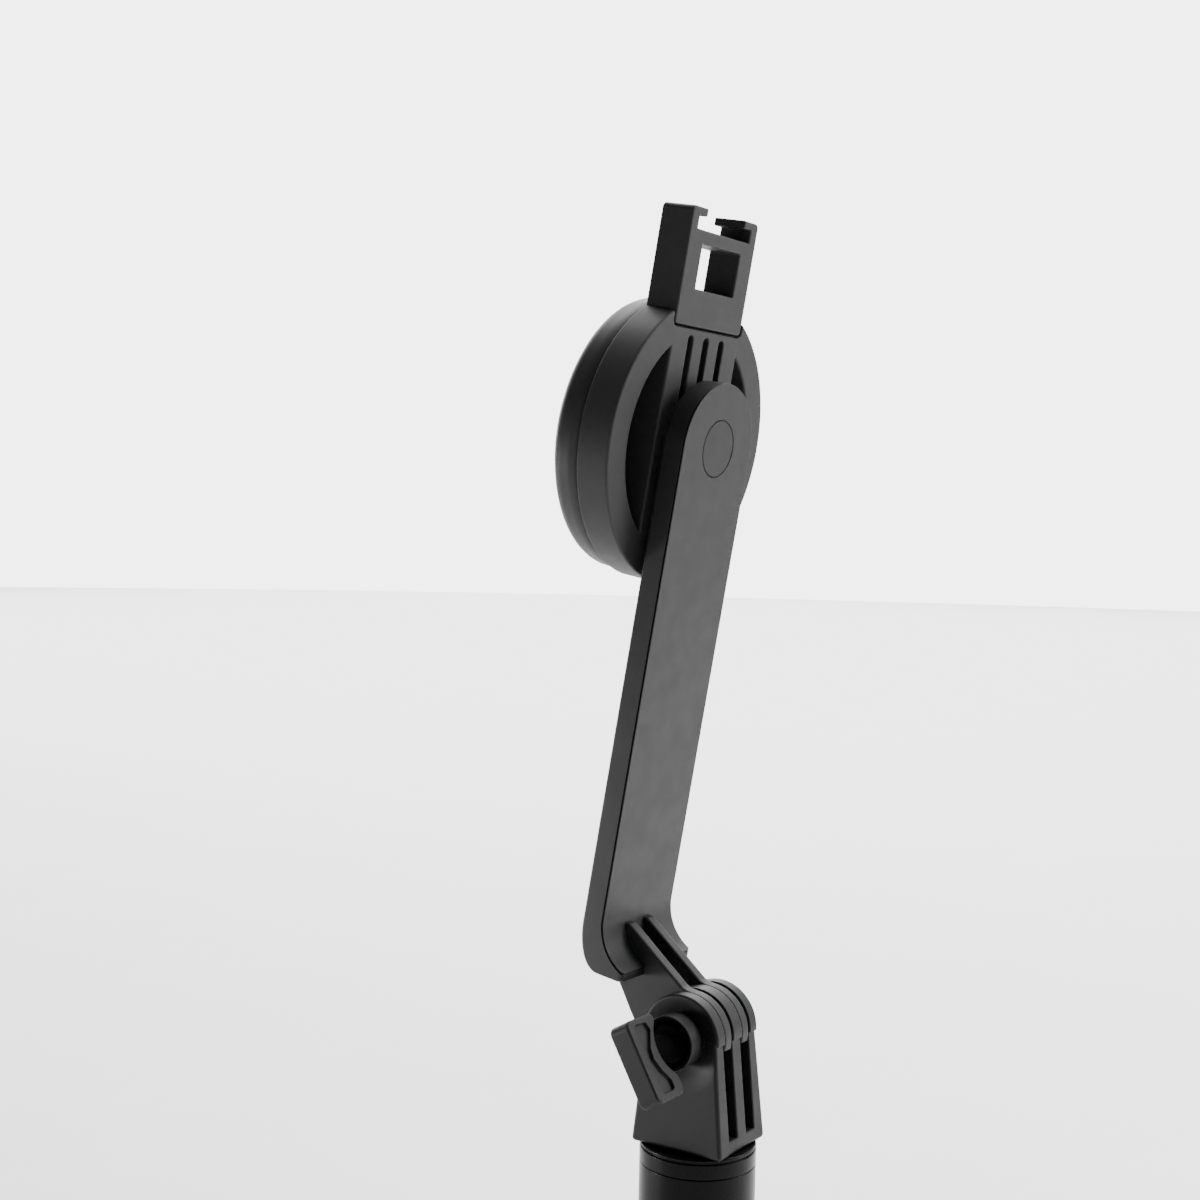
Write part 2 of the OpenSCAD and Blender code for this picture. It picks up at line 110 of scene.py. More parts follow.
def less(a, b, r=0.3):
    """a with b cut away, with the outer edge rounded to r."""
    return both(a, -b, r)


def disc(u, v, r):
    """Round disc of radius r."""
    return np.hypot(u, v) - r


def rect(u, v, u0, u1, v0, v1, r=0.0):
    """Rectangle with its corners rounded to r."""
    a = np.abs(u - (u0 + u1) / 2) - (u1 - u0) / 2 + r
    b = np.abs(v - (v0 + v1) / 2) - (v1 - v0) / 2 + r
    return far(np.maximum(a, 0), np.maximum(b, 0)) + np.minimum(np.maximum(a, b), 0) - r


def upright(x, z, half, z0, z1, r):
    """Rectangle that reaches half to both sides of the middle line."""
    return rect(x, z, -half, half, z0, z1, r)


def outline(u, v, points):
    """Distance to a closed outline of straight lines."""
    d = np.full(u.shape, 1e9)
    inside = np.ones(u.shape)
    for i, (ax, ay) in enumerate(points):
        bx, by = points[i - 1]
        ex, ey = bx - ax, by - ay
        wx, wy = u - ax, v - ay
        t = np.clip((wx * ex + wy * ey) / (ex * ex + ey * ey), 0, 1)
        d = np.minimum(d, (wx - ex * t) ** 2 + (wy - ey * t) ** 2)
        above, below = v >= ay, v < by
        left = ex * wy > ey * wx
        flip = (above & below & left) | (~above & ~below & ~left)
        inside = np.where(flip, -inside, inside)
    return inside * np.sqrt(d)


def layer(w, w0, w1):
    """Everything between two parallel planes."""
    return np.abs(w - (w0 + w1) / 2) - (w1 - w0) / 2


# ---- Meshing ----

def linked(name, data):
    """A new object in the scene."""
    made = bpy.data.objects.new(name, data)
    bpy.context.scene.collection.objects.link(made)
    return made


def finish_mesh(name, mesh, body, material, nodes, angle=32, weighted=True, flat=None):
    """Makes the object, smooths it up to an angle, gives it its material, ties it to its body and hides its
    CAD nodes.
    Faces square to the flat direction stay flat."""
    piece = linked(name, mesh)
    if weighted:
        mesh.set_sharp_from_angle(angle=math.radians(angle))
        smooth = [flat is None or bool(abs(np.dot(p.normal, flat)) < 0.9999) for p in mesh.polygons]
        mesh.polygons.foreach_set("use_smooth", smooth)
        even = piece.modifiers.new("even_normals", "WEIGHTED_NORMAL")
        even.keep_sharp = True
        even.weight = 80
    mesh.materials.clear()
    mesh.materials.append(material)
    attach(piece, body)
    if nodes:
        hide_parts(*nodes)
    return piece


def moulded(name, shape, lo, hi, cell, place):
    """Meshes the surface where shape is zero, and moves each point exactly onto it."""
    cell = cell * FINE
    longest_move, least_slope, passes = 0.4 * cell, 0.2, 4
    lo = np.array(lo, float) - 2 * cell
    count = np.ceil((np.array(hi, float) + 2 * cell - lo) / cell).astype(int) + 1
    axes = [lo[k] + cell * np.arange(count[k]) for k in range(3)]
    values = np.empty(count)
    for i, x in enumerate(axes[0]):
        y, z = np.meshgrid(axes[1], axes[2], indexing="ij")
        values[i] = shape(np.full(y.shape, x), y, z)
    sign = values < 0
    corners = [(a, b, c) for a in (0, 1) for b in (0, 1) for c in (0, 1)]
    span = [slice(None, -1), slice(1, None)]
    total = sum(sign[span[a], span[b], span[c]].astype(np.int8) for a, b, c in corners)
    cells = np.argwhere((total > 0) & (total < 8))
    at = np.array([values[tuple((cells + c).T)] for c in corners])
    sums, hits = np.zeros((len(cells), 3)), np.zeros(len(cells))
    for i, a in enumerate(corners):
        for j, b in enumerate(corners):
            if j > i and sum(abs(p - q) for p, q in zip(a, b)) == 1:
                crossed = (at[i] < 0) != (at[j] < 0)
                gap = np.where(crossed, at[i] - at[j], 1)
                t = np.where(crossed, at[i] / gap, 0)
                point = np.array(a) + t[:, None] * (np.array(b) - np.array(a))
                sums += np.where(crossed[:, None], point, 0)
                hits += crossed
    points = lo + cell * (cells + sums / hits[:, None])
    ids = np.full(count - 1, -1)
    ids[tuple(cells.T)] = np.arange(len(cells))
    faces = []
    for k in range(3):
        step = np.eye(3, dtype=int)[k]
        u, v = np.eye(3, dtype=int)[(k + 1) % 3], np.eye(3, dtype=int)[(k + 2) % 3]
        near = sign[tuple(slice(0, count[m] - step[m]) for m in range(3))]
        next_one = sign[tuple(slice(step[m], None) for m in range(3))]
        edges = np.argwhere(near != next_one)
        quad = np.stack([ids[tuple((edges - s).T)] for s in (u + v, v, 0 * u, u)], 1)
        outward = near[tuple(edges.T)]
        faces.append(quad[outward])
        faces.append(quad[~outward][:, ::-1])
    faces = np.concatenate(faces)

    def slope(p, h=0.02):
        parts = []
        for k in range(3):
            d = np.eye(3)[k] * h
            parts.append(shape(*(p + d).T) - shape(*(p - d).T))
        return np.stack(parts, 1) / (2 * h)

    for _ in range(passes):
        g = slope(points)
        move = (shape(*points.T) / np.maximum((g * g).sum(1), least_slope))[:, None] * g
        size = np.linalg.norm(move, axis=1, keepdims=True)
        points = points - move * np.minimum(1, longest_move / np.maximum(size, 1e-9))
    normals = slope(points)
    normals /= np.maximum(np.linalg.norm(normals, axis=1, keepdims=True), 1e-9)
    there = place(points)
    facing = place(points + normals) - there
    mesh = bpy.data.meshes.new(name)
    mesh.from_pydata((there * MM).tolist(), [], faces.tolist())
    mesh.update()
    mesh.polygons.foreach_set("use_smooth", [True] * len(mesh.polygons))
    mesh.normals_split_custom_set_from_vertices(facing.tolist())
    return mesh


def arc(cx, cy, r, start, end, steps=6):
    """Points of an arc, in degrees."""
    turns = np.radians(np.linspace(start, end, steps + 1))
    return [(cx + r * math.cos(t), cy + r * math.sin(t)) for t in turns]


def turned(name, profile, place=as_is, along="z", steps=128, dent=None):
    """Spins a closed profile of (radius, height) points about an axis. dent may move each point in or out."""
    rows = []
    for i in range(steps):
        t = 2 * math.pi * i / steps
        for r, h in profile:
            rr = r + (dent(t, r, h) if dent else 0.0)
            a, b = rr * math.cos(t), rr * math.sin(t)
            rows.append({"x": (h, a, b), "y": (b, h, a), "z": (a, b, h)}[along])
    n = len(profile)
    faces = []
    for i in range(steps):
        j = (i + 1) % steps
        for k in range(n):
            m = (k + 1) % n
            faces.append((i * n + k, j * n + k, j * n + m, i * n + m))
    mesh = bpy.data.meshes.new(name)
    mesh.from_pydata((place(np.array(rows)) * MM).tolist(), [], faces)
    clean(mesh)
    return mesh


def clean(mesh, gap=1e-7):
    """Welds points that meet, drops faces with no area and points faces outward."""
    work = bmesh.new()
    work.from_mesh(mesh)
    bmesh.ops.remove_doubles(work, verts=work.verts, dist=gap)
    bmesh.ops.dissolve_degenerate(work, dist=gap, edges=work.edges)
    bmesh.ops.recalc_face_normals(work, faces=work.faces)
    work.to_mesh(mesh)
    work.free()
    mesh.update()


def ring_profile(inner, outer, foot, top, r=0.3, r_in=0.12):
    """Profile of a tube's wall with rounded edges."""
    return (arc(outer - r, foot + r, r, -90, 0) + arc(outer - r, top - r, r, 0, 90)
            + arc(inner + r_in, top - r_in, r_in, 90, 180, 3)
            + arc(inner + r_in, foot + r_in, r_in, 180, 270, 3))


def disc_profile(outer, foot, top, r=0.3):
    """Profile of a solid disc with rounded edges."""
    return [(0, foot)] + arc(outer - r, foot + r, r, -90, 0) + arc(outer - r, top - r, r, 0, 90) + [(0, top)]


# ---- Materials ----

NOISE_LOW, NOISE_HIGH = 0.3, 0.7      # most of a noise's values lie between these


class Look:
    """Builds one procedural material, with helpers for the nodes that most of them share."""

    def __init__(self, name, **values):
        self.material = bpy.data.materials.new(name)
        self.material.use_nodes = True
        self.tree = self.material.node_tree
        self.shader = self.tree.nodes["Principled BSDF"]
        self.coords = self.tree.nodes.new("ShaderNodeTexCoord").outputs["Object"]
        self.height = None
        for socket, value in values.items():
            self.shader.inputs[socket.replace("_", " ")].default_value = value

    def node(self, kind, **inputs):
        """A new node whose inputs are linked where a socket is given, and set where a value is."""
        made = self.tree.nodes.new(kind)
        for socket, value in inputs.items():
            target = made.inputs[socket.replace("_", " ")]
            if isinstance(value, bpy.types.NodeSocket):
                self.tree.links.new(value, target)
            else:
                target.default_value = value
        return made

    def noise(self, size_mm, detail, coords=None):
        """Noise with spots of about this size."""
        return self.node("ShaderNodeTexNoise", Vector=coords or self.coords,
                         Scale=1 / (size_mm * MM), Detail=detail).outputs["Fac"]

    def spread(self, value, low, high):
        """A noise's values spread over the range from low to high."""
        made = self.node("ShaderNodeMapRange", Value=value)
        made.inputs["From Min"].default_value = NOISE_LOW
        made.inputs["From Max"].default_value = NOISE_HIGH
        made.inputs["To Min"].default_value = low
        made.inputs["To Max"].default_value = high
        return made.outputs["Result"]

    def shade(self, value, dark, light):
        """Base colour that follows a noise from dark to light."""
        ramp = self.node("ShaderNodeValToRGB", Fac=value)
        ramp.color_ramp.elements[0].position = NOISE_LOW
        ramp.color_ramp.elements[0].color = (*dark, 1)
        ramp.color_ramp.elements[1].position = NOISE_HIGH
        ramp.color_ramp.elements[1].color = (*light, 1)
        self.tree.links.new(ramp.outputs["Color"], self.shader.inputs["Base Color"])

    def rough(self, value, low, high):
        """Roughness that follows a noise from low to high."""
        self.tree.links.new(self.spread(value, low, high), self.shader.inputs["Roughness"])

    def bump(self, value, depth_mm, strength=1.0):
        """Relief on top of the relief that is there already."""
        made = self.node("ShaderNodeBump", Height=value, Distance=depth_mm * MM, Strength=strength)
        if self.height:
            self.tree.links.new(self.height, made.inputs["Normal"])
        self.height = made.outputs["Normal"]
        self.tree.links.new(self.height, self.shader.inputs["Normal"])

    def stretched(self, x, y, z):
        """Coordinates pulled out along some axes, for brushed or drawn surfaces."""
        return self.node("ShaderNodeMapping", Vector=self.coords, Scale=(x, y, z)).outputs["Vector"]


def grey(level):
    return (level, level, level)


def moulded_plastic(name, level, rough=0.55, grain_mm=0.22, depth_mm=0.006, specular=0.35):
    """Spark-eroded moulded plastic: fine even grain, soft cloudy shade, slight sheen where handled."""
    cloud_mm, wear_mm, sink_mm, sink_depth_mm = 9, 5, 14, 0.008
    look = Look(name, Specular_IOR_Level=specular, IOR=1.5)
    look.shade(look.noise(cloud_mm, 4), grey(level * 0.96), grey(level * 1.04))
    look.rough(look.noise(wear_mm, 5), rough - 0.03, rough + 0.04)
    look.bump(look.noise(grain_mm, 4), depth_mm)
    look.bump(look.noise(sink_mm, 2), sink_depth_mm, 0.2)
    return look.material


def rubber(name, level, grain_mm=0.35, depth_mm=0.02):
    """Matt rubber: dusty shade, uneven dullness and a soft grain."""
    dust_mm, dull_mm = 6, 3
    look = Look(name, Specular_IOR_Level=0.28, Sheen_Weight=0.12, Sheen_Roughness=0.5)
    look.shade(look.noise(dust_mm, 5), grey(level * 0.85), grey(level * 1.15))
    look.rough(look.noise(dull_mm, 4), 0.68, 0.84)
    look.bump(look.noise(grain_mm, 5), depth_mm)
    return look.material


def drawn_metal(name, colour, rough, along="z"):
    """Metal with fine lines: along the axis for a drawn tube, round it for a turned piece."""
    line_mm, line_depth_mm, stain_mm = 0.25, 0.004, 7
    look = Look(name, Metallic=1.0)
    pull = {"z": (1, 1, 0.012), "round_z": (0.02, 0.02, 1), "round_y": (0.02, 1, 0.02),
            "round_x": (1, 0.02, 0.02)}[along]
    lines = look.noise(line_mm, 3, look.stretched(*pull))
    dark, light = tuple(c * 0.9 for c in colour), tuple(min(1, c * 1.06) for c in colour)
    look.shade(look.noise(stain_mm, 4), dark, light)
    look.rough(lines, rough - 0.06, rough + 0.08)
    look.bump(lines, line_depth_mm, 0.5)
    return look.material


def gloss_black(name, level, rough):
    """Black anodised tube under a thin clear coat, with faint lines along it."""
    cloud_mm, streak_mm, line_mm, line_depth_mm = 12, 0.5, 0.4, 0.002
    pull = (1, 1, 0.02)
    look = Look(name, IOR=1.18, Specular_IOR_Level=0.5, Coat_Weight=0.02, Coat_Roughness=0.2, Coat_IOR=1.5)
    look.shade(look.noise(cloud_mm, 3), grey(level * 0.9), grey(level * 1.1))
    look.rough(look.noise(streak_mm, 4, look.stretched(*pull)), rough - 0.04, rough + 0.05)
    look.bump(look.noise(line_mm, 3, look.stretched(*pull)), line_depth_mm, 0.5)
    return look.material


ARM = moulded_plastic("arm_plastic", 0.0135, 0.52, specular=0.25)
FIN = moulded_plastic("fin_plastic", 0.014, 0.52, specular=0.22)
COVER = moulded_plastic("cover_plastic", 0.0165, 0.5, 0.2, 0.004, 0.25)
RING = moulded_plastic("ring_plastic", 0.020, 0.52, 0.2, 0.004, 0.25)
PUCK = moulded_plastic("puck_plastic", 0.017, 0.45, 0.3, 0.003, 0.35)
HINGE_BLACK = moulded_plastic("hinge_plastic", 0.0065, 0.5, specular=0.22)
KNOB = moulded_plastic("knob_plastic", 0.012, 0.5, specular=0.18)
# Near-black knob plastic: painted shade inside the knob's cup and on its stem, where the paddle shadows the
# hub.
KNOB_PAINTED_SHADE = moulded_plastic("knob_core_painted_shade", 0.002, 0.85, specular=0.02)
CAP = gloss_black("gloss_cap", 0.0025, 0.28)
HANDLE = moulded_plastic("handle_plastic", 0.010, 0.52)
BEARING = moulded_plastic("bearing_plastic", 0.45, 0.5, 0.4, 0.004)
BUSH = moulded_plastic("bush_plastic", 0.030, 0.4)
GRIP = rubber("grip_rubber", 0.010)
PAD = rubber("pad_rubber", 0.014, 0.5, 0.008)
POLE = gloss_black("pole_black", 0.002, 0.3)
# Near-black: painted shade on the puck's back, seen through the ring's openings.
PUCK_PAINTED_SHADE = moulded_plastic("puck_back_painted_shade", 0.002, 0.8, specular=0.05)
SECTION = drawn_metal("section_metal", (0.42, 0.43, 0.45), 0.28)
TRIM = drawn_metal("trim_metal", (0.07, 0.07, 0.075), 0.3, "round_z")
BRASS = drawn_metal("brass", (0.72, 0.50, 0.22), 0.25, "round_z")
STEEL = drawn_metal("steel", (0.52, 0.53, 0.55), 0.28, "round_x")
# Near-black steel: painted shade, so that the knob washer and bracket screws show no lit edges.
STEEL_PAINTED_SHADE = drawn_metal("steel_dark_painted_shade", (0.03, 0.03, 0.032), 0.45, "round_x")
NICKEL = drawn_metal("magnet_nickel", (0.62, 0.61, 0.6), 0.16, "round_y")

# ---- CAD nodes that keep their shape ----

CARRIED = {
    STEEL_PAINTED_SHADE: ["knob_washer", "bracket_screws"],
    STEEL: ["hex_nut", "thumb_bolt", "pivot_screw", "wave_washer", "pivot_nut",
            "puck_screws", "shunt_ring", "spigot_pin"],
    BEARING: ["friction_washer", "magnet_carrier"],
    BUSH: ["slide_bush_1", "slide_bush_2", "slide_bush_3", "slide_bush_4",
           "friction_plug_1", "friction_plug_2", "friction_plug_3", "friction_plug_4"],
    NICKEL: ["magnet_array"],
}
BROKEN_EDGE, SHARP_ANGLE = 0.08, 50   # width of the broken edge, and the angle that has one


def dress_carried():
    """Gives each CAD node that stays its material and a fine broken edge."""
    for material, names in CARRIED.items():
        for name in names:
            piece = frame["nodes"][name]
            piece.data.materials.clear()
            piece.data.materials.append(material)
            edge = piece.modifiers.new("broken_edge", "BEVEL")
            edge.width = BROKEN_EDGE * MM
            edge.segments = 2
            edge.limit_method = "ANGLE"
            edge.angle_limit = math.radians(SHARP_ANGLE)
            even = piece.modifiers.new("even_normals", "WEIGHTED_NORMAL")
            even.keep_sharp = True


# ---- Pole and handle ----

POLE_WALL, SECTION_WALL = 0.8, 0.55
FIT = 0.02                            # play round the pole's outer tube


def round_node(name):
    """Outer radius, foot and top of a round CAD node."""
    lo, hi = node_box(name)
    return (hi[0] - lo[0]) / 2, lo[2], hi[2]


def make_pole():
    """The outer tube and the four that slide in it."""
    r, foot, top = round_node("outer_tube")
    tube = turned("pole_tube", ring_profile(r - POLE_WALL, r, foot, top, 0.22))
    finish_mesh("pole_tube", tube, "handle", POLE, ["outer_tube"])
    for n in range(1, 5):
        name, node = f"section_tube_{n}", f"tube_section_{n}"
        r, foot, top = round_node(node)
        tube = turned(name, ring_profile(r - SECTION_WALL, r, foot, top, 0.15))
        finish_mesh(name, tube, f"section_{n}", SECTION, [node])


def make_grip():
    """Rubber sleeve with grooves round it and flutes along the lands between them, and the ring above it."""
    r, foot, top = round_node("grip_sleeve")
    bore = round_node("outer_tube")[0] + FIT
    grooves, width, depth, slant = 9, 2.4, 0.8, 0.25
    foot_land, top_land = 16.0, 8.0
    foot_edge, edge, top_edge = 1.0, 0.45, 0.8
    flute_count, flute_depth = 24, 0.45
    pitch = (top - foot_land - top_land) / grooves
    outer = arc(r - foot_edge, foot + foot_edge, foot_edge, -90, 0)
    for i in range(grooves):
        g = foot_land + i * pitch
        outer += arc(r - edge, g - edge, edge, 0, 90, 4)
        outer += [(r - depth, g + slant), (r - depth, g + width - slant)]
        outer += arc(r - edge, g + width + edge, edge, -90, 0, 4)
        if i < grooves - 1:
            for k in range(1, 4):
                outer.append((r, g + width + edge + (pitch - width - 2 * edge) * k / 4))
    outer += arc(r - top_edge, top - top_edge, top_edge, 0, 90)
    low, high = foot_land + width, foot_land + (grooves - 1) * pitch

    def flutes(t, radius, h):
        if radius < r - 0.05 or not low < h < high:
            return 0.0
        return -flute_depth * max(0.0, math.cos(flute_count * t)) ** 3

    sleeve = turned("grip_rubber_sleeve", outer + [(bore, top), (bore, foot)], steps=384, dent=flutes)
    finish_mesh("grip_rubber_sleeve", sleeve, "handle", GRIP, ["grip_sleeve"], angle=50)
    ring_r, ring_foot, ring_top = round_node("grip_ring")
    ring = turned("grip_trim_ring", ring_profile(bore, ring_r, ring_foot, ring_top, 0.5))
    finish_mesh("grip_trim_ring", ring, "handle", TRIM, ["grip_ring"])


def make_end_cap():
    """Flanged plug: a bore for the thread with a shallow groove round it, a rounded rim, and a spigot."""
    r, _, top = round_node("end_cap")
    flange = round_node("outer_tube")[1]
    spigot = round_node("slide_bush_1")[0]
    thread_r, _, depth = round_node("thread_insert")
    bore = thread_r + 0.01
    chamfer, rim, lip, bevel = 0.2, 1.1, 0.3, 0.4
    groove_in, groove_out, groove_depth, slant = bore + 2.6, bore + 3.7, 0.35, 0.3
    profile = [(0, depth), (bore, depth), (bore, chamfer), (bore + chamfer, 0), (groove_in, 0),
               (groove_in + slant, groove_depth), (groove_out - slant, groove_depth), (groove_out, 0)]
    profile += arc(r - rim, rim, rim, -90, 0, 8) + arc(r - lip, flange - lip, lip, 0, 90)
    profile += [(spigot, flange), (spigot, top - bevel), (spigot - bevel, top), (0, top)]
    cap = turned("handle_end_cap", profile)
    finish_mesh("handle_end_cap", cap, "handle", HANDLE, ["end_cap"])


def make_thread():
    """Brass insert with a real helical thread inside, 20 turns to the inch."""
    outer, foot, top = round_node("thread_insert")
    crest, root, pitch = 2.75, 3.17, 25.4 / 20
    chamfer, lead, run_in, root_flat = 0.15, 0.35, 0.3, 1.15
    steps, levels_a_turn = 48, 8
    rows, faces, levels = [], [], int((top - foot) / pitch * levels_a_turn)
    for i in range(steps):
        t = 2 * math.pi * i / steps
        column = [(outer, foot + chamfer), (outer - chamfer, foot), (root + lead, foot)]
        for k in range(levels + 1):
            h = foot + run_in + (top - foot - 2 * run_in) * k / levels
            wave = abs(((h / pitch - i / steps) % 1.0) - 0.5) * 2
            column.append((crest + (root - crest) * min(1, wave * root_flat), h))
        column += [(root, top), (outer, top)]
        rows += [(r * math.cos(t), r * math.sin(t), h) for r, h in column]
    n = len(rows) // steps
    for i in range(steps):
        j = (i + 1) % steps
        faces += [(i * n + k, j * n + k, j * n + (k + 1) % n, i * n + (k + 1) % n) for k in range(n)]
    mesh = bpy.data.meshes.new("tripod_thread_insert")
    mesh.from_pydata((np.array(rows) * MM).tolist(), [], faces)
    clean(mesh)
    finish_mesh("tripod_thread_insert", mesh, "handle", BRASS, ["thread_insert"], angle=25)


def make_top_cap():
    """Collar flush with the pole: a groove under a round lip, and a sleeve down into the last section."""
    r, low, top = round_node("top_cap")
    foot = round_node("outer_tube")[2] + 0.05
    sleeve = round_node("tube_section_4")[0] - SECTION_WALL - 0.01
    bore, lip, groove, deep = 3.42, 0.6, 0.4, 0.35
    foot_edge, groove_edge = 0.2, 0.15
    g = top - lip
    profile = ([(bore, low), (sleeve, low), (sleeve, foot)]
               + arc(r - foot_edge, foot + foot_edge, foot_edge, -90, 0, 4)
               + arc(r - groove_edge, g - groove - groove_edge, groove_edge, 0, 90, 4)
               + [(r - deep, g - groove), (r - deep, g)]
               + arc(r - lip / 2, g + lip / 2, lip / 2, -90, 90, 10) + [(bore, top)])
    finish_mesh("pole_top_cap", turned("pole_top_cap", profile), "section_4", CAP, ["top_cap"])


# ---- Hinge ----

PRONG_R, PRONG_HALF, FIN_X, SLOT_HALF = 8.2, 7.6, 3.2, 1.55
SCREW_BORE_R = 2.55
STEP_Z = 0.4                          # the round heads start this far below the hinge axis
AXIS_HALF_X, FOOT_HALF_X = 7.75, 8.55     # block's half width at the hinge axis and at its foot
AXIS_HALF_Y, FOOT_HALF_Y = 7.7, 9.85      # and its half depth
DISH_R, DISH_SLOPE, SEAT_R = 7.5, 0.4, 4.6    # shallow cone in the flanks, and the flat seat in its middle
BOSS_R, BOSS_OUT, NUT_HALF, NUT_FLOOR = 6.2, 10.4, 4.05, 6.2
SLOT_LOW, BACK_SLOT_LOW, BACK_SLOT_Y = 9.2, 18.5, 3.5     # the slots go deeper at the back


def hinge_shape(x, y, z):
    """The tapered block with three prongs, a dish on each flank and its nut boss. The CAD node's post, which
    is hidden in the pole, is left out."""
    height = -node_box("top_cap")[1][2] + HINGE[2] - 0.05
    slope_x, slope_y = (FOOT_HALF_X - AXIS_HALF_X) / height, (FOOT_HALF_Y - AXIS_HALF_Y) / height
    side_x = (np.abs(x) - (AXIS_HALF_X - z * slope_x)) / math.hypot(1, slope_x)
    side_y = (np.abs(y) - (AXIS_HALF_Y - z * slope_y)) / math.hypot(1, slope_y)
    block = both(both(both(side_y, side_x, 0.7), -z - height, 0.9), z, 0.1)
    heads = both(both(disc(y, z, PRONG_R), -z - STEP_Z, 0.15), np.abs(x) - AXIS_HALF_X, 0.7)
    body = either(block, heads, 0.1)
    dish = PRONG_HALF - np.abs(x) - (DISH_R - np.hypot(y, z)) * DISH_SLOPE
    seat = both(disc(y, z, SEAT_R), np.abs(x) - PRONG_HALF, 0.15)
    body = np.minimum(less(body, dish / math.hypot(1, DISH_SLOPE), 0.6), seat)
    boss = both(disc(y, z, BOSS_R), layer(x, -BOSS_OUT, -PRONG_HALF + 1), 0.6)
    body = either(body, boss, 0.5)
    for side in (-1, 1):
        across = np.abs(x - side * FIN_X) - SLOT_HALF
        back = rect(y, z, -BACK_SLOT_Y, BEYOND, -BACK_SLOT_LOW, BEYOND, 0.6)
        body = less(body, both(across, -z - SLOT_LOW, 0.3), 0.2)
        body = less(body, both(across, back, 0.15), 0.25)
    body = less(body, disc(y, z, SCREW_BORE_R), 0.15)
    wedge = (np.arctan2(z, y) % (math.pi / 3)) - math.pi / 6
    hexagon = np.hypot(y, z) * np.cos(wedge) - NUT_HALF
    return less(body, both(hexagon, x + NUT_FLOOR, 0.1), 0.25)


def make_hinge():
    lo, hi = node_box("hinge_base")
    lo, hi = lo - HINGE, hi - HINGE
    lo[2] = node_box("top_cap")[1][2] - HINGE[2] - 0.2
    mesh = moulded("hinge_block", hinge_shape, lo, hi, 0.2, on_hinge)
    finish_mesh("hinge_block", mesh, "section_4", HINGE_BLACK, ["hinge_base"],
                weighted=False)


HUB_R, HUB_IN, HUB_OUT = 5.2, 8.3, 12.0
CUP_R, CUP_FLOOR = 4.5, 9.2
PADDLE_TURN = 30                      # degrees, round the screw
PADDLE_IN, PADDLE_OUT, PADDLE_LOW, PADDLE_HIGH, PADDLE_HALF = 15.5, 24.5, -9.0, 6.5, 2.2
WAIST_X, WAIST_Z, WAIST_R = 12.4, -0.3, 5.9
BONE = [(21.8, 4.7), (19.2, 4.6), (18.9, 3.8), (21.0, 0.9), (21.4, -1.3), (20.4, -3.9), (18.9, -6.0),
        (18.9, -7.0), (21.5, -6.9), (21.5, -1.8)]     # pocket: out along the screw, and along the paddle
POCKET_FLOOR = 1.55


def knob_shape(x, y, z):
    """Cup-shaped hub, and a slanted paddle with a waist and a bone-shaped pocket in each face."""
    turn = math.radians(PADDLE_TURN)
    deep = np.abs(y * math.cos(turn) + z * math.sin(turn))
    t = -y * math.sin(turn) + z * math.cos(turn)
    face = rect(x, t, PADDLE_IN, PADDLE_OUT, PADDLE_LOW, PADDLE_HIGH, 1.5)
    face = less(face, disc(x - WAIST_X, t - WAIST_Z, WAIST_R), 1.1)
    pocket = both(outline(x, t, BONE) - 0.6, POCKET_FLOOR - deep, 0.15)
    paddle = less(both(face, deep - PADDLE_HALF, 0.45), pocket, 0.14)
    hub = both(disc(y, z, HUB_R), layer(x, HUB_IN, HUB_OUT), 0.4)
    hub = less(hub, both(disc(y, z, CUP_R), CUP_FLOOR - x, 0.3), 0.15)
    return np.minimum(hub, paddle)


def make_knob():
    """The knob with painted shade, near-black, inside its cup, and the stem that joins the cup to the paddle,
    also near-black as painted shade.
    """
    lo, hi = node_box("thumb_knob")
    mesh = moulded("knob", knob_shape, lo - HINGE, hi - HINGE, 0.13, on_hinge)
    knob = finish_mesh("knob", mesh, "thumb_screw", KNOB, ["thumb_knob"], weighted=False)
    knob.data.materials.append(KNOB_PAINTED_SHADE)
    # Faces inside the cup take the near-black painted shade.
    for face in knob.data.polygons:
        x, y, z = np.array(face.center) / MM - HINGE
        painted_shade_r = CUP_R + 0.2 if x < HUB_OUT - 0.3 else HUB_R - 0.15
        if CUP_FLOOR - 0.2 < x < HUB_OUT + 0.1 and math.hypot(y, z) < painted_shade_r:
            face.material_index = 1
    # The stem is near-black as well: painted shade where the paddle shadows it.
    base, shoulder, tip, stem_r = 8.9, 11.6, 19.6, 2.05
    profile = ([(0, base), (3.9, base), (3.6, base + 0.4)] + arc(3.2, shoulder, 0.4, 0, 90, 5)
               + [(2.5, shoulder + 0.5), (2.2, shoulder + 0.9), (stem_r, tip - 2.6), (stem_r, tip), (0, tip)])
    core = turned("knob_core", profile, on_hinge, along="x", steps=72)
    finish_mesh("knob_core", core, "thumb_screw", KNOB_PAINTED_SHADE, ["thumb_knob"])


# ---- Arm ----

ARM_HALF = (node_box("arm_cover")[1][0] - node_box("arm_cover")[0][0]) / 2
ARM_REAR, ARM_FRONT, COVER_T = -17.9, -22.7, 0.8
FOOT_R, FOOT_Z, FOOT_SWEEP = 9.4, 18.5, 250.1     # the rear face's curve, which ends at this angle
FOOT_TIP, FOOT_BOTTOM = -11.7, 7.6
CORNER = (4.8, 9.0)                   # half axes of the ellipse that rounds the front's lower corner
FOOT_LENGTH = 14.0
ON_FOOT = 1000                        # a place above this is a share of the foot, not a height
END_SHARE, END_ROUND = 0.07, 1.0      # how the foot's end is rounded: share of the foot, and across
CAP_R, CAP_HOLE_R = 5.32, 5.45


